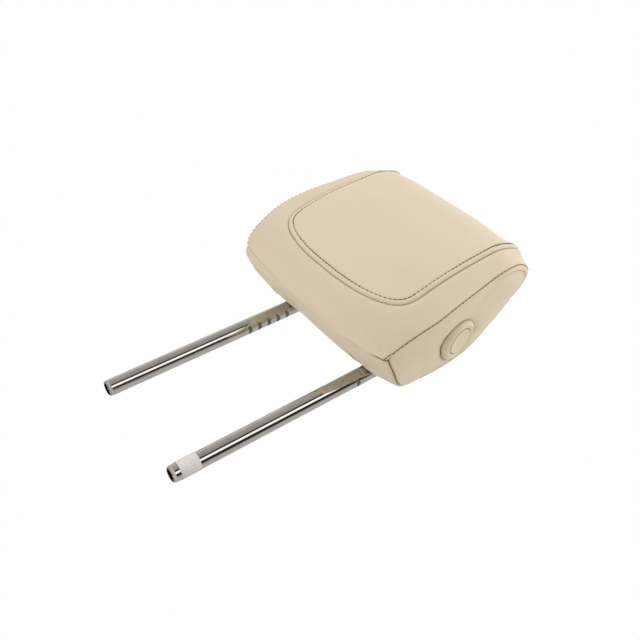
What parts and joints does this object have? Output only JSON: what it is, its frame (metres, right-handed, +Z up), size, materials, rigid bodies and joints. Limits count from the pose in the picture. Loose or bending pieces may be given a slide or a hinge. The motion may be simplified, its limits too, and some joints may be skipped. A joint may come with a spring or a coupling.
{
  "type": "car headrest",
  "caption": "Padded leather car head restraint on two chromed posts, with a side button that frees its fore-and-aft slide.",
  "frame": {"origin": "midway between the lower ends of the two posts", "axes": "+Z up the posts, -Y the face the head rests on, +X the side with the button"},
  "size_m": [0.2368, 0.1424, 0.3711],
  "materials": {
    "cream_leather": "fine-grained cream leather, semi-matt",
    "chrome_post": "bright chrome plate on steel tube",
    "bare_steel": "zinc-plated steel",
    "black_plastic": "moulded black plastic",
    "beige_plastic": "beige moulded plastic with a satin grain",
    "paper": "plain off-white paper band",
    "foam_core": "moulded foam"
  },
  "bodies": {
    "posts": {"post_frame": "chrome_post", "paper_band": "paper", "carriage_front": "black_plastic", "carriage_rear": "black_plastic", "latch_rail": "bare_steel", "carriage_screw_1": "bare_steel", "carriage_screw_2": "bare_steel"},
    "pad": {"front_chassis": "black_plastic", "rear_shell": "black_plastic", "button_housing": "black_plastic", "shell_screw_1": "bare_steel", "shell_screw_2": "bare_steel", "shell_screw_3": "bare_steel", "shell_screw_4": "bare_steel", "guide_rod_1": "bare_steel", "guide_rod_2": "bare_steel", "pivot_bracket": "bare_steel", "pivot_pin": "bare_steel", "latch_spring": "bare_steel", "front_foam": "foam_core", "centre_cover": "cream_leather", "surround_cover": "cream_leather", "side_cover_right": "cream_leather", "side_cover_left": "cream_leather", "rear_cover": "cream_leather", "bottom_valance": "cream_leather", "bezel_ring": "beige_plastic"},
    "button": {"button_cap": "beige_plastic", "push_rod": "bare_steel"},
    "latch": {"latch_lever": "bare_steel"}
  },
  "joints": [
    {"name": "pad_slide", "type": "slide", "parent": "posts", "child": "pad", "axis": [0, 1, 0], "range_m": [0, 0.024]},
    {"name": "button_press", "type": "slide", "parent": "pad", "child": "button", "axis": [-1, 0, 0], "range_m": [0, 0.004], "stiffness_N_per_m": 1500, "springref_m": -0.002},
    {"name": "latch_turn", "type": "hinge", "parent": "pad", "child": "latch", "pos_m": [0.02, -0.011, 0.2978], "axis": [0, 1, 0], "range_deg": [0, 11.5], "deforming": ["latch_spring"]}
  ],
  "couplings": [
    {"joint": "latch_turn", "follows": "button_press", "rad_per_m": 50}
  ]
}
